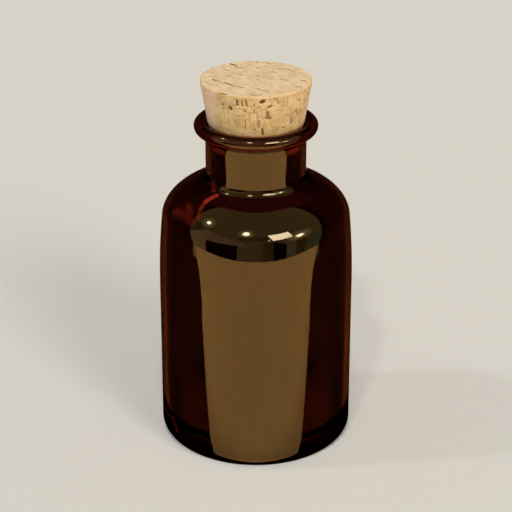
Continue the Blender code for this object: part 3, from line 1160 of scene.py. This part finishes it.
# Painted light: the side is paler and pinker at its left edge and brighter towards its right.
painted_light_left = across.rising(-9.0 * MM, -11.5 * MM)
painted_light_right = across.rising(7.0 * MM, 12.5 * MM)
side_tone = shader.mixed(painted_light_left * LEFT_PAINTED_LIGHT_SHARE, side_tone, SIDE_PAINTED_PINK_LIGHT)
side_tone = shader.mixed(painted_light_right * RIGHT_PAINTED_LIGHT_SHARE, side_tone, SIDE_PAINTED_BRIGHT_LIGHT)
tone = shader.mixed(on_end, side_tone, end_tone)
print("the cork's colour has", len(shader.tree.nodes), "nodes")

# %% [markdown]
# The grain is noise stretched one way. On the ends it runs slantwise across, and on the side short
# level and upright strokes cross, of which the darker one shows. It is fainter where the side's left
# edge is painted with light. Small dark specks lie over all of it.

# %% Draw the grain
FINE_BROWN = from_screen(150, 116, 78)
SPECK_BROWN = from_screen(138, 100, 58)
GRAIN_ANGLE = math.radians(34)
END_GRAIN_SHARE = 0.75
SIDE_FINE_SHARE = 0.62
END_FINE_SHARE = 0.55
SPECK_SHARE = 0.7
PAINTED_LIGHT_FADES_SHARE = 0.7


def grain(vector, factors, scale, detail, roughness):
    return shader.noise(shader.stretched(vector, factors), scale, detail, roughness)


turned_place = shader.node("ShaderNodeVectorRotate", {}, {"Vector": place, "Angle": GRAIN_ANGLE})
end_grain = grain(turned_place, (0.18, 1.0, 1.0), 2800.0, 5.0, 0.75)
level_grain = grain(place, (0.3, 0.3, 1.3), 1300.0, 4.0, 0.7)
upright_grain = grain(place, (1.3, 1.3, 0.25), 1300.0, 4.0, 0.7)
end_dark = end_grain.rising(0.56, 0.4) * END_GRAIN_SHARE
side_dark = level_grain.smaller(upright_grain).rising(0.465, 0.345) * (1 - painted_light_left * PAINTED_LIGHT_FADES_SHARE)
dark = side_dark + (end_dark - side_dark) * on_end
fine_share = SIDE_FINE_SHARE - on_end * (SIDE_FINE_SHARE - END_FINE_SHARE)
tone = shader.mixed(dark * fine_share, tone, FINE_BROWN)
specks = shader.noise(place, scale=2600.0, detail=3.0, roughness=0.7).rising(0.6, 0.66)
tone = shader.mixed(specks * SPECK_SHARE, tone, SPECK_BROWN)
print("the cork has", len(shader.tree.nodes), "nodes so far")

# %% [markdown]
# Dried bark is crazed with thin cracks in a few places, one of them on the front at the right. They
# are the borders of a Voronoi pattern whose place is bent by a noise, so that no border is straight,
# and a mask keeps them to those places.

# %% Crack the cork
CRACK_SHARE = 0.7
BEND = (0.9 * MM,) * 3
CRACKED_SPOT = (10.0 * MM, -8.2 * MM, 94.5 * MM)

bend = shader.node("ShaderNodeTexNoise", {}, {"Vector": place, "Scale": 900.0, "Detail": 2.0}, 1)
bent = shader.node("ShaderNodeVectorMath", {"operation": "MULTIPLY_ADD"}, {0: bend, 1: BEND, 2: place})
crazed = {"Vector": shader.stretched(bent, (1.0, 1.0, 0.55)), "Scale": 620.0}
cells = shader.node("ShaderNodeTexVoronoi", {"feature": "DISTANCE_TO_EDGE"}, crazed)
from_spot = shader.vector("DISTANCE", place, CRACKED_SPOT, output=1)
here_and_there = shader.noise(place, scale=330.0).rising(0.6, 0.68)
cracked = here_and_there.larger(from_spot.rising(4.5 * MM, 3.0 * MM)) * (1 - on_end) * (1 - painted_light_left)
crack = cells.rising(0.07, 0.02) * cracked
tone = shader.mixed(crack * CRACK_SHARE, tone, FINE_BROWN)
print("the cork has", len(shader.tree.nodes), "nodes so far")

# %% [markdown]
# The carved pits are dark inside, with an edge that a fine noise crumbles. Two more tones follow the
# shape: the rounded upper edge is painted a little warmer and darker, as painted shade that dims its
# highlight, and just above the lip the cork has a painted orange fringe with a ragged upper border,
# which is painted light that the glass below throws onto it.

# %% Darken the pits, and paint shade and light on the edges
PIT_BROWN = from_screen(114, 78, 42)
EDGE_ORANGE = from_screen(150, 66, 30)
CRUMBLE = 0.16
EDGE_SHADE_SHARE = 0.4
FRINGE_SHARE = 0.8

edge = shader.node("ShaderNodeAttribute", {"attribute_name": "pit_edge"}, {}, "Fac")
pit_share = shader.node("ShaderNodeAttribute", {"attribute_name": "pit_darkness"}, {}, "Fac")
crumble = shader.noise(place, scale=5200.0, detail=3.0, roughness=0.7) - 0.5
pit = (edge + crumble * CRUMBLE).rising(0.05, -0.05) * pit_share
tone = shader.mixed(pit, tone, PIT_BROWN)
from_axis = (across * across + away * away) ** 0.5
# Painted shade: the rounded upper edge is toned warmer and darker.
edge_shade = from_axis.rising(13.75 * MM, 14.05 * MM) * height.rising(99.6 * MM, 99.9 * MM)
tone = shader.mixed(edge_shade * EDGE_SHADE_SHARE, tone, SIDE_WARM)
# Painted light: the orange fringe just above the lip.
ragged = (shader.noise(place, scale=1500.0, detail=3.0, roughness=0.7) - 0.5) * MM
fringe = (height + ragged).rising(89.45 * MM, 89.05 * MM) * height.rising(88.2 * MM, 88.6 * MM)
tone = shader.mixed(fringe * FRINGE_SHARE, tone, EDGE_ORANGE)
print("the cork has", len(shader.tree.nodes), "nodes so far")

# %% [markdown]
# The bump takes the same grain and specks, sunk a little, and a fine roughness, so that light from the
# side catches them. The grain is also a touch less matt than the rest.

# %% Put the cork's finish together
SUNK_SHARE = 0.4
ROUGH_SHARE = 0.6
BUMP_HEIGHT = 0.05 * MM
CORK_ROUGHNESS = 0.88
GRAIN_SMOOTHER = 0.1

rough = shader.noise(place, scale=4200.0, detail=3.0, roughness=0.6)
grain_height = rough * ROUGH_SHARE - (dark + specks) * SUNK_SHARE
surface = shader.principled({
    "Base Color": tone,
    "Roughness": CORK_ROUGHNESS - dark * GRAIN_SMOOTHER,
    "Specular IOR Level": 0.25,
    "Normal": shader.bump(0.7, BUMP_HEIGHT, grain_height),
})
shader.node("ShaderNodeOutputMaterial", {}, {"Surface": surface})
cork.data.materials.append(natural)
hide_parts("cork_stopper")
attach(cork, "stopper")
print("the cork has", len(shader.tree.nodes), "nodes")

# %% [markdown]
# Last come the picture's own settings. Standard shows colours as they are written.

# %% Set the picture's colour view
bpy.context.scene.view_settings.view_transform = "Standard"
